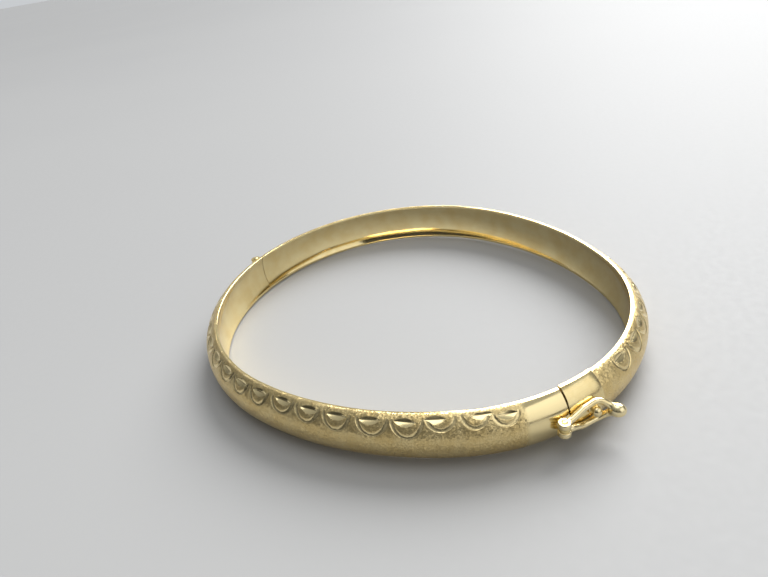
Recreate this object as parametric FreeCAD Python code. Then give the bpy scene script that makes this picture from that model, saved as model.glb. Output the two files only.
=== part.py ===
import FreeCAD, Part
import math
import os

# Hinged bangle bracelet, in millimetres.
# The origin is the centre of the wrist opening at mid height. +Z is up, +X is the long axis, and the
# clasp is near +X. Angles are those of the outward normal of the oval, counted from +X.

V = FreeCAD.Vector
UP = V(0, 0, 1)

# the wrist opening: a half circle at the hinge side and a tighter arc at the clasp, joined by two flat arcs
half_length = 30.0
half_width = 26.5
clasp_end_radius = 22.8

# the band's D section
band_height = 6.3
band_depth = 2.30
shell_wall = 0.28
liner_wall = 0.22
liner_hollow = 0.55
rim_strip = 0.30
rim_width = 0.45

# where the two arms meet
clasp_angle = -26.4
hinge_angle = 188.6
half_gap = 0.04

# the collar over the clasp end of the rear arm
collar_length = 5.0
collar_lap = 2.0
collar_proud = 0.20

# the main hinge
barrel_radius = 0.80
barrel_half_height = 2.65
barrel_inset = 0.55
barrel_room = 0.10
knuckle_half_height = 0.90
knuckle_gap = 0.03
hinge_pin_radius = 0.35
hinge_pin_running = 0.03
hinge_pin_stand = 0.15
hinge_block_length = 3.0

# the snap tongue and its socket
plate_thickness = 0.40
tongue_depth = 1.52
tongue_thickness = 0.32
tongue_half_height = 0.9
tongue_reach = 1.6
tongue_root = 0.65
spring_gap = 0.08
spring_thickness = 0.12
spring_foot = 0.5
spring_free_end = 0.3
spring_height_share = 0.8
socket_room = 0.06
socket_lead = 1.0
socket_wall = 0.12

# the figure-eight safety latch and its ball peg, centred a little above the middle of the band
latch_height = 0.28
latch_pivot_angle = -29.5
latch_pivot_stand = 0.80
latch_knuckle_radius = 0.64
latch_knuckle_half_height = 0.22
latch_pin_radius = 0.26
latch_pin_running = 0.03
latch_pin_stand = 0.08
eye_radius = 0.74
eye_gap = 0.02
wire_radius = 0.34
bead_radius = 0.83
saddle_half_width = 0.42
saddle_half_height = 0.20
peg_angle = -19.7
peg_stand = 0.65
peg_radius = 0.63
peg_post_radius = 0.34
head_rounding = 0.8

# the upper wire from its eye to the bead:
# normal angle, stand above the crest, height above the latch's middle, bend radius
wire_stations = (
    (-27.3, 0.62, 0.60, 1.6),
    (-23.6, 0.48, 1.18, 2.4),
    (-18.7, 0.44, 1.34, 1.5),
    (-16.9, 1.22, 0.58, 1.0),
)
bead_angle = -15.9
bead_stand = 2.00

# values worked out from the ones above
half_height = band_height / 2
strip_start = half_height - rim_strip
clasp_centre_x = half_length - clasp_end_radius
back_centre_x = half_width - half_length
centre_step = clasp_centre_x - back_centre_x
radius_step = half_width - clasp_end_radius
side_centre_y = (centre_step**2 - radius_step**2) / (2 * radius_step)
side_radius = half_width + side_centre_y
arc_change = math.degrees(math.atan2(side_centre_y, centre_step))
barrel_depth = band_depth - barrel_inset
eye_height = 2 * wire_radius
eye_bottom = latch_knuckle_half_height + eye_gap

# the arcs of the oval: centre, inner radius, first and last normal angle
OVAL = (
    (V(clasp_centre_x, 0, 0), clasp_end_radius, -arc_change, arc_change),
    (V(back_centre_x, -side_centre_y, 0), side_radius, arc_change, 90),
    (V(back_centre_x, 0, 0), half_width, 90, 270),
    (V(back_centre_x, side_centre_y, 0), side_radius, 270, 360 - arc_change),
)
CLASP_ARC = OVAL[0]
BACK_ARC = OVAL[2]


def outward(angle):
    turn = math.radians(angle)
    return V(math.cos(turn), math.sin(turn), 0)


def at(angle, depth, z=0.0):
    """Point on the clasp's or the hinge's arc, at a depth outward from the inner face."""
    direction = outward(angle)
    centre, radius, _, _ = CLASP_ARC if direction.x > 0 else BACK_ARC
    return centre + direction * (radius + depth) + V(0, 0, z)


def angle_for(length, arc):
    """Angle that a length along the middle of the band takes up on an arc."""
    return math.degrees(length / (arc[1] + band_depth / 2))


def above_crest(angle, height, z=0.0):
    return at(angle, band_depth + height, z)


def closed_face(edges):
    return Part.Face(Part.Wire(edges))


def line(a, b):
    return Part.LineSegment(V(a[0], 0, a[1]), V(b[0], 0, b[1])).toShape()


def bow(a, middle, b):
    ends = [V(p[0], 0, p[1]) for p in (a, middle, b)]
    return Part.Arc(*ends).toShape()


def run_lines(points):
    return [line(a, b) for a, b in zip(points, points[1:])]


def liner_section():
    """Thin strip, hollowed between two flat rim strips."""
    w = liner_wall
    s = strip_start
    h = half_height
    edges = [bow((0, -s), (liner_hollow, 0), (0, s))]
    edges += run_lines([(0, s), (0, h), (w, h), (w, s)])
    edges += [bow((w, s), (w + liner_hollow, 0), (w, -s))]
    edges += run_lines([(w, -s), (w, -h), (0, -h), (0, -s)])
    return closed_face(edges)


def shell_section():
    """Domed sheet whose edges turn in and meet the liner's rim strips."""
    w = liner_wall
    s = strip_start
    h = half_height
    edges = [bow((rim_width, -h), (band_depth, 0), (rim_width, h))]
    edges += run_lines([(rim_width, h), (w, h), (w, s)])
    edges += [bow((w, s), (band_depth - shell_wall, 0), (w, -s))]
    edges += run_lines([(w, -s), (w, -h), (rim_width, -h)])
    return closed_face(edges)


def cavity_section():
    """The room between the liner and the shell."""
    w = liner_wall
    s = strip_start
    outer = bow((w, -s), (band_depth - shell_wall, 0), (w, s))
    inner = bow((w, s), (w + liner_hollow, 0), (w, -s))
    return closed_face([outer, inner])


def dome_section():
    """All that lies between the liner and the dome's outer surface."""
    w = liner_wall
    s = strip_start
    h = half_height
    edges = [bow((rim_width, -h), (band_depth, 0), (rim_width, h))]
    edges += run_lines([(rim_width, h), (w, h), (w, s)])
    edges += [bow((w, s), (w + liner_hollow, 0), (w, -s))]
    edges += run_lines([(w, -s), (w, -h), (rim_width, -h)])
    return closed_face(edges)


def collar_section():
    """Sleeve that fits over the dome and both rims, and ends flush with the wrist side."""
    h = half_height
    top = h + collar_proud
    crest = band_depth + collar_proud
    edges = [bow((rim_width, -top), (crest, 0), (rim_width, top))]
    edges += run_lines([(rim_width, top), (0, top), (0, h), (rim_width, h)])
    edges += [bow((rim_width, h), (band_depth, 0), (rim_width, -h))]
    edges += run_lines([(rim_width, -h), (0, -h), (0, -top), (rim_width, -top)])
    return closed_face(edges)


def swept(section, start, end):
    """Carry a section along the oval between two normal angles."""
    pieces = []
    for turn in (-360, 0, 360):
        for centre, radius, first, last in OVAL:
            a = max(start, first + turn)
            b = min(end, last + turn)
            if b - a < 1e-6:
                continue
            face = section.copy()
            face.translate(V(radius, 0, 0))
            face.rotate(V(0, 0, 0), UP, a)
            piece = face.revolve(V(0, 0, 0), UP, b - a)
            piece.translate(centre)
            pieces.append(piece)
    if len(pieces) == 1:
        return pieces[0]
    return pieces[0].multiFuse(pieces[1:])


def upright(radius, centre, bottom, top):
    """Upright cylinder; bottom and top are heights from the centre point."""
    return Part.makeCylinder(radius, top - bottom, centre + UP * bottom, UP)


def headed(pin, stand):
    """Round off both ends of a pin that stands out of its bore."""
    ends = [e for e in pin.Edges if isinstance(e.Curve, Part.Circle)]
    return pin.makeFillet(stand * head_rounding, ends)


# ---- where each piece ends along the oval, and the hinge axis
clasp_gap = angle_for(half_gap, CLASP_ARC)
hinge_gap = angle_for(half_gap, BACK_ARC)
plate_angle = angle_for(plate_thickness, CLASP_ARC)
block_angle = angle_for(hinge_block_length, BACK_ARC)
front_start = hinge_angle + hinge_gap
front_end = clasp_angle + 360 - clasp_gap
rear_start = clasp_angle + clasp_gap
rear_end = hinge_angle - hinge_gap
collar_end = clasp_angle + angle_for(collar_length, CLASP_ARC)
rear_shell_start = clasp_angle + angle_for(collar_length - collar_lap, CLASP_ARC)
hinge_axis = at(hinge_angle, barrel_depth)


# ---- main hinge
def knuckle(bottom, top, bore):
    tube = upright(barrel_radius, hinge_axis, bottom, top)
    return tube.cut(upright(bore, hinge_axis, bottom, top))


def hinge_seat(middle_radius, outer_radius):
    """Cutter for the barrel's seat: one radius at the middle knuckle, another above and below it."""
    far = 2 * half_height
    k = knuckle_half_height + knuckle_gap
    middle = upright(middle_radius, hinge_axis, -k, k)
    upper = upright(outer_radius, hinge_axis, k, far)
    lower = upright(outer_radius, hinge_axis, -far, -k)
    return middle.multiFuse([upper, lower])


front_seat = hinge_seat(barrel_radius, barrel_radius + barrel_room)
rear_seat = hinge_seat(barrel_radius + barrel_room, barrel_radius)


def front_hinge_knuckle():
    k = knuckle_half_height
    return knuckle(-k, k, hinge_pin_radius + hinge_pin_running)


def rear_hinge_knuckle_upper():
    return knuckle(knuckle_half_height + knuckle_gap, barrel_half_height, hinge_pin_radius)


def rear_hinge_knuckle_lower():
    return knuckle(-barrel_half_height, -knuckle_half_height - knuckle_gap, hinge_pin_radius)


def hinge_pin():
    top = barrel_half_height + hinge_pin_stand
    return headed(upright(hinge_pin_radius, hinge_axis, -top, top), hinge_pin_stand)


def front_hinge_block():
    return swept(cavity_section(), front_start, front_start + block_angle).cut(front_seat)


def rear_hinge_block():
    return swept(cavity_section(), rear_end - block_angle, rear_end).cut(rear_seat)


# ---- tongue and socket: all turn about the hinge axis, so that the tongue draws straight out
seam_point = at(clasp_angle, tongue_depth)
from_hinge = seam_point - hinge_axis
tongue_radius = from_hinge.Length
seam_turn = math.degrees(math.atan2(from_hinge.y, from_hinge.x))


def curved_slab(inner, outer, start, end, half):
    """Slab bent round the hinge axis; start and end are lengths along it from the seam."""
    per_mm = math.degrees(1 / tongue_radius)
    first = seam_turn + start * per_mm
    sweep = (end - start) * per_mm
    base = V(hinge_axis.x, hinge_axis.y, -half)
    block = Part.makeCylinder(outer, 2 * half, base, UP, sweep)
    core = Part.makeCylinder(inner, 2 * half, base, UP, sweep)
    slab = block.cut(core)
    slab.rotate(hinge_axis, UP, first)
    return slab


blade_outer = tongue_radius + tongue_thickness / 2
blade_inner = tongue_radius - tongue_thickness / 2
spring_inner = blade_outer + spring_gap
spring_outer = spring_inner + spring_thickness
slot_inner = blade_inner - socket_room
slot_outer = spring_outer + socket_room
slot_half = tongue_half_height + socket_room
slot_end = tongue_reach + 2 * socket_room


def tongue():
    return curved_slab(blade_inner, blade_outer, -tongue_root, tongue_reach, tongue_half_height)


def tongue_spring():
    """Leaf along the outer side of the tongue, joined to it by a foot at the tip."""
    half = tongue_half_height * spring_height_share
    leaf = curved_slab(spring_inner, spring_outer, spring_free_end, tongue_reach, half)
    foot = curved_slab(blade_outer, spring_inner, tongue_reach - spring_foot, tongue_reach, half)
    return leaf.fuse(foot).removeSplitter()


def front_end_cap():
    plate = swept(cavity_section(), front_end - plate_angle, front_end)
    return plate.cut(tongue())


def slot_cutter():
    """Cutter for the slot, from ahead of the face plate to the socket's far end."""
    return curved_slab(slot_inner, slot_outer, -socket_lead, slot_end, slot_half)


def clasp_face_plate():
    plate = swept(dome_section(), rear_start, rear_start + plate_angle)
    return plate.cut(slot_cutter())


def clasp_box():
    """Thin-walled socket behind the face plate."""
    w = socket_wall
    outside = curved_slab(slot_inner - w, slot_outer + w, 0, slot_end + w, slot_half + w)
    behind_plate = swept(dome_section(), rear_start + plate_angle, rear_shell_start)
    return outside.cut(slot_cutter()).common(behind_plate)


# ---- the arms
def front_outer_shell():
    return swept(shell_section(), front_start, front_end).cut(front_seat)


def front_inner_liner():
    return swept(liner_section(), front_start, front_end).cut(front_seat)


def rear_outer_shell():
    return swept(shell_section(), rear_shell_start, rear_end).cut(rear_seat)


def rear_inner_liner():
    return swept(liner_section(), rear_start, rear_end).cut(rear_seat)


def clasp_collar():
    return swept(collar_section(), rear_start, collar_end)


def safety_peg():
    """Ball on a short post that stands on the collar."""
    ball = Part.makeSphere(peg_radius, above_crest(peg_angle, peg_stand, latch_height))
    foot = above_crest(peg_angle, collar_proud / 2, latch_height)
    post = Part.makeCylinder(peg_post_radius, peg_stand - collar_proud / 2, foot, outward(peg_angle))
    return ball.fuse(post).cut(clasp_collar())


# ---- the safety latch
latch_axis = above_crest(latch_pivot_angle, latch_pivot_stand, latch_height)
bead_centre = above_crest(bead_angle, bead_stand, latch_height)


def latch_knuckle():
    """Short tube on a saddle soldered to the front arm."""
    k = latch_knuckle_half_height
    tube = upright(latch_knuckle_radius, latch_axis, -k, k)
    reach = latch_pivot_stand + shell_wall
    corner = V(-reach, -saddle_half_width, -saddle_half_height)
    saddle = Part.makeBox(reach, 2 * saddle_half_width, 2 * saddle_half_height, corner)
    saddle.rotate(V(0, 0, 0), UP, latch_pivot_angle)
    saddle.translate(latch_axis)
    solid = tube.fuse(saddle).cut(upright(latch_pin_radius, latch_axis, -k, k))
    return solid.cut(swept(dome_section(), front_end - block_angle, front_end))


def latch_pivot_pin():
    top = eye_bottom + eye_height + latch_pin_stand
    return headed(upright(latch_pin_radius, latch_axis, -top, top), latch_pin_stand)


def rounded_path(points, radii):
    """Straight runs joined by tangent arcs of the given radii at the inner points."""
    edges = []
    here = points[0]
    for i in range(1, len(points) - 1):
        corner = points[i]
        back = (points[i - 1] - corner).normalize()
        ahead = (points[i + 1] - corner).normalize()
        half_bend = (math.pi - back.getAngle(ahead)) / 2
        setback = radii[i - 1] * math.tan(half_bend)
        first = corner + back * setback
        last = corner + ahead * setback
        inward = (back + ahead).normalize()
        centre = corner + inward * (radii[i - 1] / math.cos(half_bend))
        middle = centre - inward * radii[i - 1]
        edges.append(Part.LineSegment(here, first).toShape())
        edges.append(Part.Arc(first, middle, last).toShape())
        here = last
    edges.append(Part.LineSegment(here, points[-1]).toShape())
    return edges


def wire_along(edges, radius):
    runs = []
    for edge in edges:
        start = edge.Vertexes[0].Point
        heading = edge.tangentAt(edge.FirstParameter)
        ring = Part.Wire(Part.makeCircle(radius, start, heading))
        runs.append(Part.Wire(edge).makePipe(Part.Face(ring)))
    return runs


def latch_half():
    """The upper eye and the wire from it to the bead."""
    eye = upright(eye_radius, latch_axis, eye_bottom, eye_bottom + eye_height)
    start = latch_axis + UP * (eye_bottom + wire_radius)
    points = [start] + [above_crest(a, up, latch_height + z) for a, up, z, _ in wire_stations]
    points.append(bead_centre)
    radii = [bend for _, _, _, bend in wire_stations]
    solid = eye.multiFuse(wire_along(rounded_path(points, radii), wire_radius))
    bore = upright(latch_pin_radius + latch_pin_running, latch_axis, 0, half_height)
    return solid.cut(bore)


def figure_eight_latch():
    """One springy wire: two eyes round the pin, two arms past the ball, and a bead at the tip."""
    upper = latch_half()
    lower = upper.mirror(latch_axis, UP)
    bead = Part.makeSphere(bead_radius, bead_centre)
    return upper.multiFuse([lower, bead])


PIECES = (
    front_outer_shell,
    front_inner_liner,
    front_end_cap,
    tongue,
    tongue_spring,
    front_hinge_block,
    front_hinge_knuckle,
    latch_knuckle,
    latch_pivot_pin,
    rear_outer_shell,
    rear_inner_liner,
    clasp_collar,
    clasp_face_plate,
    clasp_box,
    safety_peg,
    rear_hinge_block,
    rear_hinge_knuckle_upper,
    rear_hinge_knuckle_lower,
    hinge_pin,
    figure_eight_latch,
)

os.makedirs("parts", exist_ok=True)
for make in PIECES:
    name = make.__name__
    shape = make()
    if len(shape.Solids) == 1:
        shape = shape.Solids[0]
    print(f"{name}: {len(shape.Solids)} solid, {shape.Volume:.3f} mm3, valid {shape.isValid()}")
    shape.exportStep(f"parts/{name}.step")

print("hinge axis", hinge_axis, "latch axis", latch_axis)
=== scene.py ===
import math
import random

import bpy
import numpy as np
from mathutils import Matrix, Quaternion, Vector


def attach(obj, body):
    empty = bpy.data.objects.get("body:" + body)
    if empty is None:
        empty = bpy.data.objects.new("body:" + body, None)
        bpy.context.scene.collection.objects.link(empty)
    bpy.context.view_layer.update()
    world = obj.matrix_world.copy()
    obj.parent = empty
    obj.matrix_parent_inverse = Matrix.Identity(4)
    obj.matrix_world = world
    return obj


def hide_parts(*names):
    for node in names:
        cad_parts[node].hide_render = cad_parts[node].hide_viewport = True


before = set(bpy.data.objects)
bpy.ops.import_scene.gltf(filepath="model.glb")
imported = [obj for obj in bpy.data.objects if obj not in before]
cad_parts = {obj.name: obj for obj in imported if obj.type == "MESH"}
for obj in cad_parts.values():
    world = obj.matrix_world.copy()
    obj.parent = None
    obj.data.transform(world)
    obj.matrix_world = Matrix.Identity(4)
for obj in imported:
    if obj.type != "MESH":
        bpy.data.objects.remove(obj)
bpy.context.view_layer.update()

# Hinged bangle bracelet in pale gold. Sizes are in millimetres and angles are those of the oval's
# outward normal, counted from +X, as in the CAD source. MM turns a size into metres.
MM = 0.001

# ---- sizes of the design
half_length = 30.0
half_width = 26.5
clasp_end_radius = 22.8
half_height = 3.15
band_depth = 2.30
shell_wall = 0.28
liner_wall = 0.22
liner_hollow = 0.55
strip_start = 2.85
rim_width = 0.45
clasp_angle = -26.4
hinge_angle = 188.6
half_gap = 0.04
collar_length = 5.0
collar_lap = 2.0
collar_rim_proud = 0.20
barrel_radius = 0.80
barrel_room = 0.10
barrel_depth = 1.75
barrel_half_height = 2.65
knuckle_half_height = 0.90
knuckle_gap = 0.03
hinge_pin_radius = 0.35
hinge_pin_stand = 0.15
latch_pivot_angle = -29.5
latch_pivot_stand = 0.80
latch_knuckle_radius = 0.64
latch_knuckle_half_height = 0.22
latch_pin_radius = 0.26
eye_radius = 0.74
eye_bottom = 0.24
wire_radius = 0.34
latch_height = 0.28
peg_angle = -19.7
peg_stand = 0.65
peg_radius = 0.63
# bends of each wire after its eye: angle, height over the crest, distance from the latch's middle, radius
wire_stations = (
    (-27.3, 0.62, 0.60, 1.6),
    (-23.6, 0.48, 1.18, 2.4),
    (-18.7, 0.44, 1.34, 1.5),
    (-16.9, 1.22, 0.58, 1.0),
)
bead_angle = -15.9
bead_stand = 2.00

# ---- sizes that only the visible meshes have
edge_round = 0.09
shell_rim_round = 0.25
collar_rim_round = 0.30
collar_crest_proud = 0.15
filed_length = 1.2
filed_depth = 0.085
band_waver = 0.012
collar_waver = 0.010
wire_visible = 0.37
wire_swell = 0.12
eye_round = 0.16
dimple_radius = 0.38
dimple_depth = 0.12
bead_radius = 0.80
bead_shift = -0.06
bead_stretch = 1.20
solder_reach = 0.12
saddle_radius = 0.26
saddle_flare = 0.22
rivet_stand = 0.06
peg_sink = 0.10
peg_foot_radius = 0.62
peg_neck_radius = 0.36

# ---- the oval's arcs, which follow from the sizes of the design
clasp_centre_x = half_length - clasp_end_radius
back_centre_x = half_width - half_length
centre_step = clasp_centre_x - back_centre_x
radius_step = half_width - clasp_end_radius
side_centre_y = (centre_step**2 - radius_step**2) / (2 * radius_step)
side_radius = half_width + side_centre_y
arc_change = math.degrees(math.atan2(side_centre_y, centre_step))


# ---- the oval
def place(angle, depth, z):
    """Points in metres at a normal angle, a depth outward from the wrist side, and a height."""
    angle, depth, z = np.broadcast_arrays(*(np.asarray(v, float) for v in (angle, depth, z)))
    turn = np.mod(angle, 360)
    clasp = (turn <= arc_change) | (turn >= 360 - arc_change)
    back = (turn >= 90) & (turn <= 270)
    cx = np.where(clasp, clasp_centre_x, back_centre_x)
    cy = np.where(clasp | back, 0.0, np.where(turn < 180, -side_centre_y, side_centre_y))
    radius = np.where(clasp, clasp_end_radius, np.where(back, half_width, side_radius))
    a = np.radians(angle)
    x = cx + (radius + depth) * np.cos(a)
    y = cy + (radius + depth) * np.sin(a)
    return np.stack([x, y, z], -1) * MM


def spot(angle, above, z=0.0):
    """One point at a height above the band's crest."""
    return Vector(place(angle, band_depth + above, z))


def outward(angle):
    """The direction of the oval's outward normal."""
    return Vector((math.cos(math.radians(angle)), math.sin(math.radians(angle)), 0))


# the crest's length from -40 degrees, tabulated at every hundredth of a degree
_angles = np.linspace(-40, 360, 40001)
_crest = place(_angles, band_depth, 0) / MM
_steps = np.linalg.norm(np.diff(_crest, axis=0), axis=1)
_lengths = np.concatenate([[0], np.cumsum(_steps)])


def length_at(angle):
    """Length along the crest, in millimetres."""
    return np.interp(angle, _angles, _lengths)


def angle_at(length):
    """Normal angle, in degrees, at a length along the crest."""
    return np.interp(length, _lengths, _angles)


# ---- mesh helpers
sharp_edge_angle = 40


def add_object(name, data):
    """A new object in the scene, around a mesh, a light or a camera."""
    made = bpy.data.objects.new(name, data)
    bpy.context.scene.collection.objects.link(made)
    return made


def make_object(name, points, faces):
    """A smooth mesh whose steeper edges stay sharp."""
    mesh = bpy.data.meshes.new(name)
    mesh.from_pydata([tuple(p) for p in np.asarray(points)], [], faces)
    mesh.update()
    mesh.shade_smooth()
    mesh.set_sharp_from_angle(angle=math.radians(sharp_edge_angle))
    return add_object(name, mesh)


def grid_faces(rows, columns):
    """Quads of a grid whose columns close on themselves."""
    i = np.arange(rows - 1)[:, None]
    j = np.arange(columns)[None, :]
    k = (j + 1) % columns
    low, high = i * columns, (i + 1) * columns
    quads = np.stack([low + j, low + k, high + k, high + j], -1)
    return [tuple(q) for q in quads.reshape(-1, 4).tolist()]


def arc_points(centre, radius, start, end, count):
    """Points on an arc in the section plane, with their outward normals."""
    a = np.radians(np.linspace(start, end, count))
    normal = np.stack([np.cos(a), np.sin(a)], -1)
    return np.array(centre) + radius * normal, normal


def bow_points(half_chord, start_depth, rise, count, up):
    """A shallow arc from one end of a chord to the other, rising outward in the middle."""
    radius = (half_chord**2 + rise**2) / (2 * rise)
    edge = math.degrees(math.asin(half_chord / radius))
    ends = (-edge, edge) if up else (edge, -edge)
    return arc_points((start_depth + rise - radius, 0), radius, *ends, count)


class Section:
    """A closed outline in (depth, height) with a normal and a surface length per point.

    Points marked outer belong to the seen surface, which takes the relief and the unevenness.
    """

    def __init__(self):
        self.points, self.normals, self.outer = [], [], []

    def add(self, points, normals, outer):
        self.points += [tuple(p) for p in points]
        self.normals += [tuple(n) for n in normals]
        self.outer += [outer] * len(points)

    def done(self):
        """Turn the lists into arrays, and measure the surface length from the crest, positive upward."""
        self.points = np.array(self.points)
        self.normals = np.array(self.normals)
        self.outer = np.array(self.outer)
        step = np.linalg.norm(np.diff(self.points, axis=0), axis=1)
        run = np.concatenate([[0], np.cumsum(step)])
        crest = np.argmax(np.where(self.outer, self.points[:, 0], -1))
        self.across = run[crest] - run
        return self


def dome_angles(fine_from, fine_to, fine, coarse, edge, radius):
    """Angles down the dome, close together between two surface lengths."""
    stops = [edge, math.degrees(fine_to / radius), math.degrees(fine_from / radius), -edge]
    spans = []
    for (a, b), step in zip(zip(stops, stops[1:]), (coarse, fine, coarse)):
        count = max(2, round(math.radians(abs(a - b)) * radius / step))
        spans.append(np.linspace(a, b, count, endpoint=False))
    return np.concatenate(spans + [[-edge]])


def dome_outline(crest, height, rounding, angles=None, count=40):
    """Top rim, dome and bottom rim of the band or of the collar, from outer rim edge to outer rim edge."""
    rise = crest - rim_width
    radius = (height**2 + rise**2) / (2 * rise)
    centre = crest - radius
    corner = centre + math.sqrt((radius - rounding) ** 2 - (height - rounding) ** 2)
    edge = math.degrees(math.atan2(height - rounding, corner - centre))
    if angles is None:
        stops = np.linspace(edge, -edge, count)
    else:
        stops = dome_angles(*angles, edge, radius)
    top, top_n = arc_points((corner, height - rounding), rounding, 90, edge, 6)
    a = np.radians(stops[1:-1])
    dome_n = np.stack([np.cos(a), np.sin(a)], -1)
    dome = np.array((centre, 0)) + radius * dome_n
    low, low_n = arc_points((corner, rounding - height), rounding, -edge, -90, 6)
    return np.concatenate([top, dome, low]), np.concatenate([top_n, dome_n, low_n])


def record_band(mesh, u, across, bright):
    """Store what the materials read: how bright each point is, and lengths along and across as a UV map."""
    attribute = mesh.attributes.new("bright", "FLOAT", "POINT")
    attribute.data.foreach_set("value", bright.ravel().astype(np.float32))
    uv = mesh.uv_layers.new(name="band")
    corner = np.empty(len(mesh.loops), np.int32)
    mesh.loops.foreach_get("vertex_index", corner)
    flat = np.stack([u.ravel(), np.broadcast_to(across, u.shape).ravel()], -1)[corner]
    uv.data.foreach_set("uv", flat.ravel().astype(np.float32))


def sweep(
    name, section, lengths, first=None, last=None, relief=None, taper=None, wave=0.0, round_ends=0.05,
):
    """Carry a section along the oval.

    first and last give each column's own end, relief the depth and brightness of the cuts, taper a
    filed stretch, wave the height of the unevenness, and round_ends the rounding of both ends.
    """
    rows, columns = len(lengths), len(section.points)
    across = section.across[None, :]
    share = (lengths - lengths[0]) / (lengths[-1] - lengths[0])
    start = np.full(columns, lengths[0]) if first is None else first
    end = np.full(columns, lengths[-1]) if last is None else last
    u = start[None, :] + (end - start)[None, :] * share[:, None]
    near = np.clip(round_ends - np.minimum(u - start, end - u), 0, round_ends)
    inset = round_ends - np.sqrt(round_ends**2 - near**2)
    inset += wave * waver(u, across)
    if taper is not None:
        inset += taper(u, section)
    bright = np.zeros((rows, columns))
    if relief is not None:
        cut, bright = relief(u, across)
        inset += cut
    inset *= section.outer[None, :]
    depth = section.points[None, :, 0] - inset * section.normals[None, :, 0]
    z = section.points[None, :, 1] - inset * section.normals[None, :, 1]
    points = place(angle_at(u), depth, z).reshape(-1, 3)
    faces = grid_faces(rows, columns)
    faces.append(tuple(range(columns)))
    faces.append(tuple(range((rows - 1) * columns, rows * columns))[::-1])
    made = make_object(name, points, faces)
    record_band(made.data, u, across, bright * section.outer[None, :])
    return made


_rng = random.Random(7)
_waves = [(_rng.uniform(0.25, 1.1), _rng.uniform(-0.7, 0.7), _rng.uniform(0, 6.28)) for _ in range(9)]


def waver(u, s):
    """Slow unevenness of hand finished metal, mostly between -1 and 1."""
    total = sum(np.sin(a * u + b * s + c) for a, b, c in _waves)
    return total / 4


# ---- the engraving: a row of lens-shaped bright cuts along the top rim, each over a curved groove.
# The tops of the cuts are measured up from the crest along the surface, and the cuts go into the metal
lens_top = 3.50
lens_half = 1.28
lens_height = 1.02
lens_crease = 0.40
lens_cut = 0.16
groove_top = 0.25
groove_half = 0.25
groove_cut = 0.09
groove_tail = 0.15
groove_fade = 0.6
groove_stops = 61
usual_pitch = 3.96
usual_drop = 1.92
plain_by_clasp = 6.95
plain_by_hinge = 3.2
polish_by_seam = 5.3
polish_fade = 0.7
rear_first_cut_angle = -3.4
# a cut stays within this length on either side of its centre, and between these surface lengths
cut_reach = 2.4
cut_zone = (0.9, 3.75)

# the first cuts from the clasp are uneven, as in the photo. Each row holds the pitch to the next cut, the
# groove's drop, the lens's offset, the groove's half width and the lift
front_cuts = (
    (3.45, 1.48, 0.15, 1.42, 0.00),
    (3.75, 1.70, 0.75, 1.45, 0.40),
    (3.75, 1.57, -0.65, 1.57, 0.25),
    (4.05, 2.05, -0.25, 1.76, 0.00),
    (4.40, 1.98, -0.30, 1.80, 0.00),
    (3.95, 1.95, 0.00, 1.66, 0.00),
    (3.80, 1.85, 0.30, 1.60, 0.05),
)


def cut_row(start, end, cuts=()):
    """Cuts from start towards end: centre, groove's drop, lens's offset, half width, lift, tilt."""
    way = 1 if end > start else -1
    cuts = list(cuts)
    row = []
    here = start
    while (end - here) * way > 0:
        usual = (
            usual_pitch * _rng.uniform(0.94, 1.06),
            usual_drop * _rng.uniform(0.93, 1.07),
            _rng.uniform(-0.25, 0.25),
            _rng.uniform(1.55, 1.76),
            _rng.uniform(-0.08, 0.12),
        )
        pitch, drop, offset, half, lift = cuts.pop(0) if cuts else usual
        row.append((here, drop, offset, half, lift, _rng.uniform(-0.05, 0.05)))
        here += way * pitch
    return row


def lens_relief(x, y, tilt):
    """Cut depth and steepness of a lens whose two slopes meet in a crease; y counts down the band."""
    shape = np.clip(1 - (x / lens_half) ** 2, 0, 1)
    middle = lens_crease * lens_height + tilt * x
    high = middle - lens_crease * lens_height * shape
    low = middle + (1 - lens_crease) * lens_height * shape
    upper = (y - high) / np.maximum(middle - high, 1e-6)
    lower = (low - y) / np.maximum(low - middle, 1e-6)
    wedge = np.clip(np.minimum(upper, lower), 0, 1) * (shape > 0)
    return lens_cut * shape**0.7 * wedge, wedge


def groove_relief(x, y, half, drop):
    """Cut depth and roundness of a groove that hangs down by drop, and fades out at both tips."""
    t = np.linspace(-1, 1, groove_stops) * math.pi / 2
    line_x = half * np.sin(t)
    line_y = groove_top + (drop - groove_top) * np.cos(t) ** 1.2
    d = np.min((x[..., None] - line_x) ** 2 + (y[..., None] - line_y) ** 2, axis=-1) ** 0.5
    fade = np.clip((y - groove_top + groove_tail) / groove_fade, 0, 1)
    width = groove_half * (0.5 + 0.5 * fade)
    groove = np.sqrt(np.clip(1 - (d / width) ** 2, 0, 1)) * (y > groove_top - groove_tail)
    return groove_cut * groove * fade, groove


def one_cut(u, s, centre, drop, offset, half, lift, tilt):
    """Cut depth and brightness of one lens-shaped cut with the curved groove under it."""
    x = u - centre
    y = lens_top + lift - s
    lens, wedge = lens_relief(x - offset, y, tilt)
    groove, roundness = groove_relief(x, y, half, drop)
    bright = np.maximum(np.clip(wedge * 5, 0, 1), np.clip(roundness * 1.6, 0, 1) * 0.7)
    return np.maximum(lens, groove), bright


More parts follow.
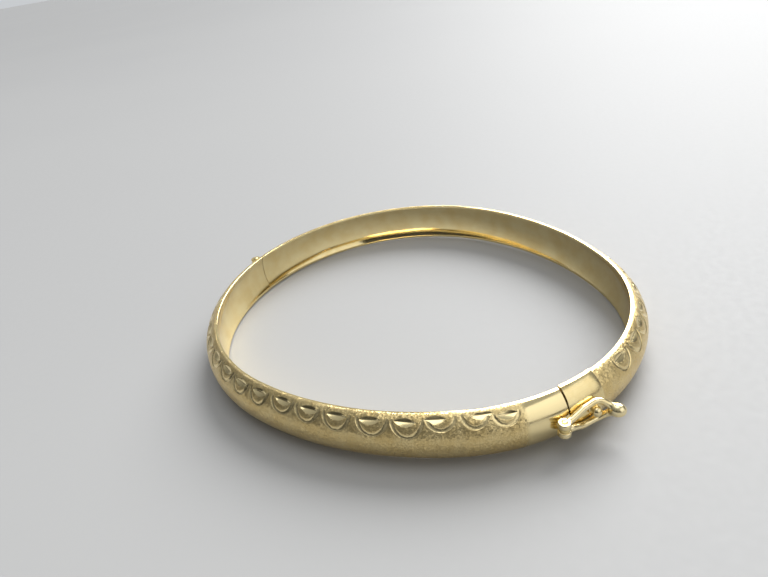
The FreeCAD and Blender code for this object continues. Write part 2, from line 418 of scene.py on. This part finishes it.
def engraving(row, polished_from=None):
    """Relief function for a row of cuts along the top rim, with the sheet polished past a length."""

    def relief(u, s):
        s = np.broadcast_to(s, u.shape)
        cut = np.zeros(u.shape)
        bright = np.zeros(u.shape)
        if polished_from is not None:
            bright = np.clip((u - polished_from) / polish_fade, 0, 1)
        columns = np.where((s[0] > cut_zone[0]) & (s[0] < cut_zone[1]))[0]
        for centre, *cut_sizes in row:
            rows = np.where(np.abs(u[:, columns[0]] - centre) < cut_reach)[0]
            if len(rows) == 0:
                continue
            block = np.ix_(rows, columns)
            c, b = one_cut(u[block], s[block], centre, *cut_sizes)
            cut[block] = np.maximum(cut[block], c)
            bright[block] = np.maximum(bright[block], b)
        return cut, bright

    return relief


# ---- the arms' shells and liners
row_step = 0.05
plain_step = 0.4
collar_step = 0.05
# surface lengths between which the shell's columns lie close together, for the cuts, and the two spacings
shell_columns = (1.0, 3.6, 0.05, 0.22)


def hinge_ends(section, middle_radius, outer_radius, sign):
    """Where each column of an arm stops at the hinge: at the half gap, or at the barrel's seat."""
    depth = section.points[:, 0]
    z = section.points[:, 1]
    middle = np.abs(z) < knuckle_half_height + knuckle_gap
    radius = np.where(middle, middle_radius, outer_radius)
    seat = np.sqrt(np.clip(radius**2 - (depth - barrel_depth) ** 2, 0, None))
    scale = (half_width + band_depth) / (half_width + depth)
    return length_at(hinge_angle) + sign * np.maximum(seat * scale, half_gap)


def shell_outline():
    """The domed outer sheet, open towards the wrist side, where the liner closes it."""
    outline = Section()
    outline.add([(liner_wall, half_height)], [(0, 1)], True)
    dome, normals = dome_outline(band_depth, half_height, shell_rim_round, shell_columns)
    outline.add(dome, normals, True)
    outline.add([(liner_wall, -half_height)], [(0, -1)], True)
    inside, inside_n = bow_points(strip_start, liner_wall, band_depth - shell_wall - liner_wall, 12, True)
    outline.add(inside, -inside_n, False)
    return outline.done()


def liner_outline():
    """The hollowed strip on the wrist side. It is nearly flat, so height serves as its surface length."""
    outline = Section()
    r = edge_round
    top, top_n = arc_points((r, half_height - r), r, 180, 90, 5)
    outline.add(top, top_n, True)
    outline.add([(liner_wall, half_height), (liner_wall, strip_start)], [(0, 1), (1, 0)], False)
    hidden, hidden_n = bow_points(strip_start, liner_wall, liner_hollow, 9, False)
    outline.add(hidden[1:-1], hidden_n[1:-1], False)
    outline.add([(liner_wall, -strip_start), (liner_wall, -half_height)], [(1, 0), (0, -1)], False)
    low, low_n = arc_points((r, r - half_height), r, 270, 180, 5)
    outline.add(low, low_n, True)
    face, face_n = bow_points(strip_start, 0, liner_hollow, 40, True)
    outline.add(face, -face_n, True)
    outline.done()
    outline.across = outline.points[:, 1].copy()
    return outline


def arm_lengths(start, end, step):
    """Lengths from start to end, a step apart or a little more."""
    count = int(abs(end - start) / step) + 1
    return np.linspace(start, end, count)


seam = float(length_at(clasp_angle))
seam_front = float(length_at(clasp_angle + 360))
hinge = float(length_at(hinge_angle))
front_from = hinge + half_gap
front_to = seam_front - half_gap
rear_shell_from = seam + collar_length - collar_lap
rear_to = hinge - half_gap

shell_section = shell_outline()
front_row = cut_row(front_to - plain_by_clasp, front_from + plain_by_hinge, front_cuts)
rear_row = cut_row(float(length_at(rear_first_cut_angle)), rear_to - plain_by_hinge)
front_shell = sweep(
    "front_shell_engraved", shell_section, arm_lengths(front_from, front_to, row_step),
    first=hinge_ends(shell_section, barrel_radius, barrel_radius + barrel_room, 1),
    relief=engraving(front_row, front_to - polish_by_seam), wave=band_waver,
)
rear_shell = sweep(
    "rear_shell_engraved", shell_section, arm_lengths(rear_shell_from, rear_to, row_step),
    last=hinge_ends(shell_section, barrel_radius + barrel_room, barrel_radius, -1),
    relief=engraving(rear_row), wave=band_waver,
)

liner_section = liner_outline()
front_liner = sweep(
    "front_liner_polished", liner_section, arm_lengths(front_from, front_to, plain_step),
    first=hinge_ends(liner_section, 0.0, 0.0, 1), wave=band_waver, round_ends=0.03,
)
rear_liner = sweep(
    "rear_liner_polished", liner_section, arm_lengths(seam + half_gap, rear_to, plain_step),
    last=hinge_ends(liner_section, 0.0, 0.0, -1), wave=band_waver, round_ends=0.03,
)


# ---- the collar
def collar_outline():
    """The sleeve over the dome and both rims, flush with the wrist side."""
    outline = Section()
    height = half_height + collar_rim_proud
    r = edge_round
    inner_top, inner_top_n = arc_points((r, height - r), r, 180, 90, 5)
    outline.add(inner_top, inner_top_n, True)
    dome, normals = dome_outline(band_depth + collar_crest_proud, height, collar_rim_round, count=60)
    outline.add(dome, normals, True)
    inner_low, inner_low_n = arc_points((r, r - height), r, 270, 180, 5)
    outline.add(inner_low, inner_low_n, True)
    outline.add([(0, -half_height)], [(-1, 0)], False)
    under, under_n = dome_outline(band_depth, half_height, rounding=0.02, count=24)
    outline.add(under[::-1], -under_n[::-1], False)
    outline.add([(0, half_height)], [(-1, 0)], False)
    return outline.done()


collar_from = seam + half_gap
collar_to = seam + collar_length


def collar_taper(u, section):
    """The collar is filed thinner towards its far edge."""
    near = np.clip((u - (collar_to - filed_length)) / filed_length, 0, 1) ** 2
    over_dome = np.clip(section.normals[None, :, 0] * 1.6, 0, 1)
    return filed_depth * near * over_dome


collar = sweep(
    "collar_polished", collar_outline(), arm_lengths(collar_from, collar_to, collar_step),
    taper=collar_taper, wave=collar_waver, round_ends=0.06,
)


# ---- turned pieces, tubes and soldered shapes
def turned(name, base, axis, profile, segments=64):
    """Revolve (radius, height) pairs about an axis; a radius of 0 closes an end."""
    axis = Vector(axis).normalized()
    side = axis.orthogonal().normalized()
    other = axis.cross(side)
    turn = np.linspace(0, 2 * math.pi, segments, endpoint=False)
    points, faces, rings = [], [], []
    for radius, height in profile:
        centre = base + axis * height * MM
        if radius < 1e-9:
            rings.append([len(points)])
            points.append(centre)
            continue
        rings.append(list(range(len(points), len(points) + segments)))
        points += [centre + (side * math.cos(t) + other * math.sin(t)) * radius * MM for t in turn]
    for low, high in zip(rings, rings[1:]):
        for j in range(segments):
            k = (j + 1) % segments
            if len(low) == 1:
                faces.append((low[0], high[k], high[j]))
            elif len(high) == 1:
                faces.append((low[j], low[k], high[0]))
            else:
                faces.append((low[j], low[k], high[k], high[j]))
    return make_object(name, points, faces)


def rounded(radius, bottom, top, rounding, steps=6):
    """Profile of a cylinder with rounded edges."""
    a = np.linspace(0, math.pi / 2, steps)
    flat = radius - rounding
    low = [(flat + rounding * math.sin(t), bottom + rounding - rounding * math.cos(t)) for t in a]
    high = [(flat + rounding * math.cos(t), top - rounding + rounding * math.sin(t)) for t in a]
    return [(0, bottom)] + low + high + [(0, top)]


def ball(radius, centre=0.0, stretch=1.0, steps=40):
    """Profile of a ball, or of an egg where the stretch isn't 1."""
    a = np.linspace(-math.pi / 2, math.pi / 2, steps)
    inner = [(radius * math.cos(t), centre + radius * stretch * math.sin(t)) for t in a[1:-1]]
    return [(0, centre - radius * stretch)] + inner + [(0, centre + radius * stretch)]


def tube(name, path, radii, segments=40):
    """A round bar along a path of points, with a radius at each."""
    path = [Vector(p) for p in path]
    points = []
    normal = None
    for i, p in enumerate(path):
        ahead = path[min(i + 1, len(path) - 1)] - path[max(i - 1, 0)]
        ahead.normalize()
        normal = ahead.orthogonal() if normal is None else normal - ahead * normal.dot(ahead)
        normal.normalize()
        other = ahead.cross(normal)
        for j in range(segments):
            t = 2 * math.pi * j / segments
            points.append(p + (normal * math.cos(t) + other * math.sin(t)) * radii[i])
    faces = [f[::-1] for f in grid_faces(len(path), segments)]
    faces.append(tuple(range(segments))[::-1])
    faces.append(tuple(range((len(path) - 1) * segments, len(path) * segments)))
    return make_object(name, points, faces)


def bent_path(points, radii, steps=10):
    """Straight runs joined by tangent arcs of the given radii at the inner points."""
    path = [points[0]]
    for i in range(1, len(points) - 1):
        corner = points[i]
        back = (points[i - 1] - corner).normalized()
        ahead = (points[i + 1] - corner).normalized()
        half_bend = (math.pi - back.angle(ahead)) / 2
        radius = radii[i - 1] * MM
        inward = (back + ahead).normalized()
        centre = corner + inward * (radius / math.cos(half_bend))
        across = (ahead - back).normalized()
        for t in np.linspace(-half_bend, half_bend, steps):
            path.append(centre - inward * radius * math.cos(t) + across * radius * math.sin(t))
    path.append(points[-1])
    return path


def evenly(path, step):
    """The same path with points a step apart."""
    p = np.array(path)
    run = np.concatenate([[0], np.cumsum(np.linalg.norm(np.diff(p, axis=0), axis=1))])
    stops = np.linspace(0, run[-1], int(run[-1] / step) + 2)
    return np.stack([np.interp(stops, run, p[:, i]) for i in range(3)], -1)


def soldered(name, parts, voxel, smooth):
    """Melt overlapping shapes into one body with soft joints."""
    points, faces = [], []
    for part in parts:
        first = len(points)
        points += [tuple(v.co) for v in part.data.vertices]
        faces += [tuple(first + i for i in f.vertices) for f in part.data.polygons]
        bpy.data.objects.remove(part)
    rough = make_object(name + "_parts", points, faces)
    # the remesh works at a size where its own tolerances are harmless
    rough.data.transform(Matrix.Scale(1 / MM, 4))
    melt = rough.modifiers.new("melt", "REMESH")
    melt.mode = "VOXEL"
    melt.voxel_size = voxel
    soften = rough.modifiers.new("soften", "SMOOTH")
    soften.factor = 0.5
    soften.iterations = smooth
    bpy.context.view_layer.update()
    evaluated = rough.evaluated_get(bpy.context.evaluated_depsgraph_get())
    mesh = bpy.data.meshes.new_from_object(evaluated)
    mesh.name = name
    mesh.transform(Matrix.Scale(MM, 4))
    mesh.shade_smooth()
    bpy.data.objects.remove(rough)
    return add_object(name, mesh)


# ---- the latch, its mount and rivet, the ball peg and the hinge
voxel = 0.035
UP = Vector((0, 0, 1))
latch_axis = spot(latch_pivot_angle, latch_pivot_stand, latch_height)
bead_centre = spot(bead_angle, bead_stand, latch_height)
hinge_axis = spot(hinge_angle, barrel_depth - band_depth)


def latch_arm(sign):
    """One of the latch's two wires, from its eye to the bead, into which it swells."""
    start = latch_axis + UP * (eye_bottom + wire_radius) * sign * MM
    stops = [start] + [spot(a, up, latch_height + z * sign) for a, up, z, _ in wire_stations]
    stops.append(bead_centre)
    path = evenly(bent_path(stops, [bend for *_, bend in wire_stations]), 0.12 * MM)
    share = np.linspace(0, 1, len(path))
    uneven = 1 + 0.04 * np.sin(9 * share)
    melted = np.clip((share - 0.80) / 0.12, 0, 1) ** 2
    radii = wire_visible * uneven + wire_swell * melted
    return tube("wire", path, radii * MM)


def latch_eye(sign):
    """The flattened end of a wire, with a dimple around the rivet."""
    base = latch_axis + UP * eye_bottom * sign * MM
    tall = 2 * wire_radius
    dimple = tall - dimple_depth
    profile = rounded(eye_radius, 0, tall, eye_round)[:-1]
    profile += [(dimple_radius, tall), (dimple_radius - 0.03, dimple), (0, dimple)]
    return turned("eye", base, UP * sign, profile)


def latch_bead():
    """The egg of melted metal at the latch's tip, long in the direction of its last bend."""
    foot = spot(wire_stations[-1][0], wire_stations[-1][1], latch_height)
    along = (bead_centre - foot).normalized()
    return turned("bead", bead_centre, along, ball(bead_radius, bead_shift, bead_stretch))


def latch_saddle():
    """The mount's flared foot, from the knuckle down into the band."""
    reach = latch_pivot_stand + solder_reach
    direction = outward(latch_pivot_angle)
    shares = np.linspace(0, 1, 12)
    path = [latch_axis - direction * reach * MM * t for t in shares]
    radii = [(saddle_radius + saddle_flare * t**3) * MM for t in shares]
    return tube("saddle", path, radii)


def upright(name, axis, bottom, top, radius, rounding):
    """A turned cylinder that stands on an upright axis, between two heights counted from the axis point."""
    return turned(name, axis + UP * bottom * MM, UP, rounded(radius, 0, top - bottom, rounding))


def ball_peg():
    """Ball on a short neck, with a fillet of solder around its foot."""
    base = spot(peg_angle, collar_crest_proud - peg_sink, latch_height)
    rise = peg_stand - collar_crest_proud + peg_sink
    fillet = [(0.56, 0.10), (0.46, 0.145), (0.38, 0.20), (0.345, 0.28)]
    foot = [(0, -0.05), (peg_foot_radius, -0.05), (peg_foot_radius, 0.0)] + fillet
    sphere = [(r, z) for r, z in ball(peg_radius, rise) if not (z < rise and r < peg_neck_radius)]
    return turned("ball_peg", base, outward(peg_angle), foot + sphere)


def hinge_barrel(name, bottom, top):
    """One knuckle of the hinge, as the rounded tube that shows."""
    return upright(name, hinge_axis, bottom, top, barrel_radius, rounding=0.05)


latch_shapes = [latch_arm(1), latch_arm(-1), latch_eye(1), latch_eye(-1), latch_bead()]
latch = soldered("latch_wire", latch_shapes, voxel, smooth=4)

mount_half = latch_knuckle_half_height
latch_barrel = upright("barrel", latch_axis, -mount_half, mount_half, latch_knuckle_radius, rounding=0.06)
latch_mount = soldered("latch_mount", [latch_barrel, latch_saddle()], voxel, smooth=3)
rivet_half = eye_bottom + 2 * wire_radius + rivet_stand
latch_pin = upright("latch_pin", latch_axis, -rivet_half, rivet_half, latch_pin_radius, rounding=0.12)
peg = ball_peg()

outer_from = knuckle_half_height + knuckle_gap
front_knuckle = hinge_barrel("hinge_barrel_middle", -knuckle_half_height, knuckle_half_height)
upper_knuckle = hinge_barrel("hinge_barrel_upper", outer_from, barrel_half_height)
lower_knuckle = hinge_barrel("hinge_barrel_lower", -barrel_half_height, -outer_from)
pin_half = barrel_half_height + hinge_pin_stand
hinge_pin = upright("hinge_pin_domed", hinge_axis, -pin_half, pin_half, hinge_pin_radius, rounding=0.13)


# ---- materials
def nodes_for(name, metallic=1.0):
    """A new material with one shader, wired to the output."""
    material = bpy.data.materials.new(name)
    material.use_nodes = True
    tree = material.node_tree
    tree.nodes.clear()
    shader = tree.nodes.new("ShaderNodeBsdfPrincipled")
    output = tree.nodes.new("ShaderNodeOutputMaterial")
    tree.links.new(shader.outputs["BSDF"], output.inputs["Surface"])
    shader.inputs["Metallic"].default_value = metallic
    return material, tree, shader


def join(tree, source, target):
    tree.links.new(source, target)


def feed(tree, value, socket):
    """Link a node's output to a socket, or set the socket to a plain value."""
    if isinstance(value, bpy.types.NodeSocket):
        join(tree, value, socket)
    else:
        socket.default_value = value


def noise(tree, vector, scale, detail=2.0, roughness=0.5, stretch=(1, 1, 1)):
    mapping = tree.nodes.new("ShaderNodeMapping")
    mapping.inputs["Scale"].default_value = stretch
    join(tree, vector, mapping.inputs["Vector"])
    node = tree.nodes.new("ShaderNodeTexNoise")
    node.inputs["Scale"].default_value = scale
    node.inputs["Detail"].default_value = detail
    node.inputs["Roughness"].default_value = roughness
    join(tree, mapping.outputs["Vector"], node.inputs["Vector"])
    return node.outputs["Fac"]


def between(tree, value, low, high, from_low=0.0, from_high=1.0):
    """Carry a value from one range over to the range from low to high."""
    node = tree.nodes.new("ShaderNodeMapRange")
    node.inputs["From Min"].default_value = from_low
    node.inputs["From Max"].default_value = from_high
    node.inputs["To Min"].default_value = low
    node.inputs["To Max"].default_value = high
    join(tree, value, node.inputs["Value"])
    return node.outputs["Result"]


def math_node(tree, operation, a, b):
    node = tree.nodes.new("ShaderNodeMath")
    node.operation = operation
    feed(tree, a, node.inputs[0])
    feed(tree, b, node.inputs[1])
    return node.outputs["Value"]


def vector_node(tree, operation, a, b=None):
    node = tree.nodes.new("ShaderNodeVectorMath")
    node.operation = operation
    feed(tree, a, node.inputs[0])
    if b is not None:
        feed(tree, b, node.inputs["Scale"] if operation == "SCALE" else node.inputs[1])
    return node.outputs["Value"] if operation == "DOT_PRODUCT" else node.outputs["Vector"]


def mix_value(tree, share, a, b):
    node = tree.nodes.new("ShaderNodeMix")
    node.data_type = "FLOAT"
    join(tree, share, node.inputs["Factor"])
    feed(tree, a, node.inputs["A"])
    feed(tree, b, node.inputs["B"])
    return node.outputs["Result"]


def mix_colour(tree, share, a, b):
    node = tree.nodes.new("ShaderNodeMix")
    node.data_type = "RGBA"
    sockets = [s for s in node.inputs if s.type == "RGBA"]
    join(tree, share, node.inputs[0])
    for socket, value in zip(sockets, (a, b)):
        feed(tree, (*value, 1) if isinstance(value, tuple) else value, socket)
    return [s for s in node.outputs if s.type == "RGBA"][0]


def bump(tree, height, strength, distance, normal=None):
    node = tree.nodes.new("ShaderNodeBump")
    node.inputs["Distance"].default_value = distance
    feed(tree, strength, node.inputs["Strength"])
    join(tree, height, node.inputs["Height"])
    if normal is not None:
        join(tree, normal, node.inputs["Normal"])
    return node.outputs["Normal"]


def facets(tree, vector, scale, amount):
    """A surface normal that tilts a random way in each tiny cell."""
    cells = tree.nodes.new("ShaderNodeTexVoronoi")
    cells.inputs["Scale"].default_value = scale
    join(tree, vector, cells.inputs["Vector"])
    centred = vector_node(tree, "SUBTRACT", cells.outputs["Color"], (0.5, 0.5, 0.5))
    tilt = vector_node(tree, "SCALE", centred, amount)
    normal = tree.nodes.new("ShaderNodeNewGeometry").outputs["Normal"]
    return vector_node(tree, "NORMALIZE", vector_node(tree, "ADD", normal, tilt))


def patchy(tree, tone, pale, deep):
    """A colour that drifts between two shades in broad soft patches."""
    return mix_colour(tree, between(tree, tone, 0, 1, 0.35, 0.65), pale, deep)


def satin_gold():
    """Sandblasted outside with bright cuts: a fine grain of tiny facets that catch the light. The cuts and
    the polished stretch by the seam are polished, and are also painted a paler colour as a highlight.
    """
    pale, warm, deep = (0.87, 0.70, 0.36), (0.79, 0.60, 0.27), (0.58, 0.41, 0.15)
    # paler than the satin: the polished cuts' own colour, with a painted highlight on top
    cut_colour_painted_highlight = (0.93, 0.77, 0.42)
    material, tree, shader = nodes_for("satin_gold")
    uv = tree.nodes.new("ShaderNodeUVMap").outputs["UV"]
    cut = tree.nodes.new("ShaderNodeAttribute")
    cut.attribute_name = "bright"
    bright = cut.outputs["Fac"]
    tone = noise(tree, uv, 0.45, 3)
    grain = noise(tree, uv, 7.0, 3, 0.65)
    pits = noise(tree, uv, 3.2, 2, 0.5)
    body = patchy(tree, tone, pale, warm)
    body = mix_colour(tree, between(tree, grain, 0, 0.55, 0.45, 0.7), body, deep)
    # the cuts and the polished stretch get the paler colour: polished finish, plus a painted highlight
    join(tree, mix_colour(tree, bright, body, cut_colour_painted_highlight), shader.inputs["Base Color"])
    matt = between(tree, grain, 0.24, 0.38, 0.3, 0.7)
    gloss = between(tree, tone, 0.13, 0.22, 0.35, 0.65)
    join(tree, mix_value(tree, bright, matt, gloss), shader.inputs["Roughness"])
    tilted = facets(tree, uv, 5.5, mix_value(tree, bright, 0.30, 0.0))
    height = math_node(tree, "ADD", grain, math_node(tree, "MULTIPLY", pits, 0.8))
    strength = mix_value(tree, bright, 0.55, 0.03)
    join(tree, bump(tree, height, strength, 0.05 * MM, tilted), shader.inputs["Normal"])
    return material


def polished_gold(name, low, high, relief):
    """Bright inside and collar, with the fine lines of the polishing wheel along the band.

    low and high are the usual range of the roughness, and relief is the strength of the bump.
    """
    material, tree, shader = nodes_for(name)
    uv = tree.nodes.new("ShaderNodeUVMap").outputs["UV"]
    tone = noise(tree, uv, 0.35, 3)
    lines = noise(tree, uv, 1.0, 4, 0.7, (0.22, 9.0, 1))
    hair = noise(tree, uv, 1.0, 3, 0.7, (1.1, 26.0, 1))
    body = patchy(tree, tone, (0.92, 0.77, 0.42), (0.85, 0.67, 0.32))
    join(tree, body, shader.inputs["Base Color"])
    gloss = between(tree, lines, low, high, 0.35, 0.65)
    gloss = math_node(tree, "ADD", gloss, between(tree, hair, -0.02, 0.04))
    join(tree, gloss, shader.inputs["Roughness"])
    height = math_node(tree, "ADD", lines, math_node(tree, "MULTIPLY", hair, 0.5))
    join(tree, bump(tree, height, relief, 0.03 * MM), shader.inputs["Normal"])
    return material


def bright_gold(name, pale, deep, low, high, relief):
    """Small cast and turned pieces, and the plates inside: hand polished, slightly uneven."""
    material, tree, shader = nodes_for(name)
    position = tree.nodes.new("ShaderNodeTexCoord").outputs["Object"]
    tone = noise(tree, position, 0.9 / MM, 2)
    fine = noise(tree, position, 9.0 / MM, 3, 0.6)
    pits = noise(tree, position, 2.2 / MM, 2)
    join(tree, patchy(tree, tone, pale, deep), shader.inputs["Base Color"])
    join(tree, between(tree, fine, low, high, 0.3, 0.7), shader.inputs["Roughness"])
    height = math_node(tree, "ADD", pits, math_node(tree, "MULTIPLY", fine, 0.25))
    join(tree, bump(tree, height, relief, 0.05 * MM), shader.inputs["Normal"])
    return material


satin = satin_gold()
polished = polished_gold("liner_gold", 0.05, 0.13, 0.07)
buffed = polished_gold("collar_gold", 0.13, 0.24, 0.14)
wire_gold = bright_gold("wire_gold", (0.95, 0.82, 0.50), (0.90, 0.73, 0.38), 0.16, 0.30, 0.25)
solder_gold = bright_gold("solder_gold", (0.92, 0.76, 0.36), (0.82, 0.62, 0.24), 0.12, 0.26, 0.4)
plate_gold = bright_gold("plate_gold", (0.88, 0.70, 0.34), (0.78, 0.58, 0.26), 0.16, 0.32, 0.35)
spring_gold = bright_gold("spring_gold", (0.86, 0.72, 0.42), (0.78, 0.62, 0.32), 0.14, 0.26, 0.2)


def paint(piece, material):
    piece.data.materials.clear()
    piece.data.materials.append(material)


def paint_node(name, material):
    """Give a CAD node a material through the object's own slots, which leaves its shape alone."""
    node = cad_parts[name]
    if not node.material_slots:
        node.data.materials.append(None)
    for holder in node.material_slots:
        holder.link = "OBJECT"
        holder.material = material


# ---- which piece stands for what: piece, body, slot, material and the CAD nodes that it replaces
PIECES = (
    (front_shell, "front_arm", "satin_gold", satin, ("front_outer_shell",)),
    (rear_shell, "rear_arm", "satin_gold", satin, ("rear_outer_shell",)),
    (front_liner, "front_arm", "polished_gold", polished, ("front_inner_liner",)),
    (rear_liner, "rear_arm", "polished_gold", polished, ("rear_inner_liner",)),
    (collar, "rear_arm", "bright_gold", buffed, ("clasp_collar",)),
    (latch, "safety_latch", "wire_gold", wire_gold, ("figure_eight_latch",)),
    (latch_mount, "front_arm", "bright_gold", solder_gold, ("latch_knuckle",)),
    (latch_pin, "front_arm", "wire_gold", wire_gold, ("latch_pivot_pin",)),
    (peg, "rear_arm", "wire_gold", wire_gold, ("safety_peg",)),
    (front_knuckle, "front_arm", "bright_gold", solder_gold, ("front_hinge_knuckle",)),
    (upper_knuckle, "rear_arm", "bright_gold", solder_gold, ("rear_hinge_knuckle_upper",)),
    (lower_knuckle, "rear_arm", "bright_gold", solder_gold, ("rear_hinge_knuckle_lower",)),
    (hinge_pin, "rear_arm", "bright_gold", wire_gold, ("hinge_pin",)),
)
for piece, body, slot_name, material, stands_for in PIECES:
    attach(piece, body)
    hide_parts(*stands_for)
    paint(piece, material)

for name in ("front_end_cap", "clasp_face_plate", "clasp_box", "front_hinge_block", "rear_hinge_block"):
    paint_node(name, plate_gold)
for name in ("tongue", "tongue_spring"):
    paint_node(name, spring_gold)


# ---- floor, light and camera. The floor's and the lights' sizes are in metres
floor_radius = 6
floor_sides = 96


def floor_material():
    material, tree, shader = nodes_for("pale_floor", metallic=0.0)
    position = tree.nodes.new("ShaderNodeTexCoord").outputs["Object"]
    tone = noise(tree, position, 6.0, 3)
    fine = noise(tree, position, 900.0, 2)
    shade = mix_colour(tree, tone, (0.385, 0.385, 0.385), (0.41, 0.41, 0.405))
    join(tree, shade, shader.inputs["Base Color"])
    join(tree, between(tree, fine, 0.55, 0.7), shader.inputs["Roughness"])
    join(tree, bump(tree, fine, 0.05, 0.1 * MM), shader.inputs["Normal"])
    return material


def make_floor():
    """Wide disc at the height of the collar's lower edge, on which the bangle rests."""
    level = -(half_height + collar_rim_proud) * MM
    turns = np.linspace(0, 2 * math.pi, floor_sides, endpoint=False)
    rim = [(floor_radius * math.cos(t), floor_radius * math.sin(t), level) for t in turns]
    made = make_object("floor", rim, [tuple(range(floor_sides))])
    paint(made, floor_material())


make_floor()


def area_light(name, location, size, power):
    """A rectangle of light that faces the bangle."""
    light = bpy.data.lights.new(name, "AREA")
    light.shape = "RECTANGLE"
    light.size, light.size_y = size
    light.energy = power
    made = add_object(name, light)
    made.location = location
    made.rotation_mode = "QUATERNION"
    made.rotation_quaternion = (Vector((0, 0, 0)) - Vector(location)).to_track_quat("-Z", "Y")


def sun_light(name, azimuth, elevation, spread, strength):
    """Azimuth is where the light comes from, counted like the oval's angles."""
    light = bpy.data.lights.new(name, "SUN")
    light.energy = strength
    light.angle = math.radians(spread)
    made = add_object(name, light)
    a, e = math.radians(azimuth), math.radians(elevation)
    towards = Vector((math.cos(a) * math.cos(e), math.sin(a) * math.cos(e), math.sin(e)))
    made.rotation_mode = "QUATERNION"
    made.rotation_quaternion = (-towards).to_track_quat("-Z", "Y")


sun_light("window", azimuth=100, elevation=37, spread=46, strength=4.3)
area_light("overhead", location=(0.0, 0.0, 0.60), size=(0.42, 0.42), power=0.8)
area_light("side", location=(0.60, 0.02, 0.33), size=(0.80, 0.60), power=1.3)


def studio_world():
    """Dim room with a pale ceiling and a paler wall beyond the object; the camera sees a plain backdrop."""
    wall_direction = (-0.75, 0.66, 0)
    backdrop = 0.62
    world = bpy.data.worlds.new("studio")
    world.use_nodes = True
    tree = world.node_tree
    background = tree.nodes["Background"]
    direction = tree.nodes.new("ShaderNodeTexCoord").outputs["Generated"]
    split = tree.nodes.new("ShaderNodeSeparateXYZ")
    join(tree, direction, split.inputs["Vector"])
    ceiling = between(tree, split.outputs["Z"], 0.03, 0.47, 0.15, 0.95)
    towards_wall = vector_node(tree, "DOT_PRODUCT", direction, wall_direction)
    wall = between(tree, towards_wall, 0.03, 0.60, 0.45, 0.9)
    light = math_node(tree, "MAXIMUM", ceiling, wall)
    seen = tree.nodes.new("ShaderNodeLightPath").outputs["Is Camera Ray"]
    join(tree, mix_value(tree, seen, light, backdrop), background.inputs["Strength"])
    background.inputs["Color"].default_value = (0.94, 0.97, 1.0, 1)
    bpy.context.scene.world = world


studio_world()
bpy.context.scene.view_settings.view_transform = "Standard"


def photo_camera():
    """The photo's camera, as fitted to the bangle's outline: close by, and leaning a little."""
    eye = Vector((50.57, -56.40, 47.44)) * MM
    aim = Vector((-7.04, 1.205, 0)) * MM
    lean = Quaternion((0, 0, 1), math.radians(-10.04))
    lens = bpy.data.cameras.new("camera")
    lens.sensor_width = 36
    lens.lens = 28.125
    lens.clip_start = 0.002
    lens.clip_end = 20
    camera = add_object("camera", lens)
    camera.location = eye
    camera.rotation_mode = "QUATERNION"
    camera.rotation_quaternion = (aim - eye).to_track_quat("-Z", "Y") @ lean
    bpy.context.scene.camera = camera


photo_camera()
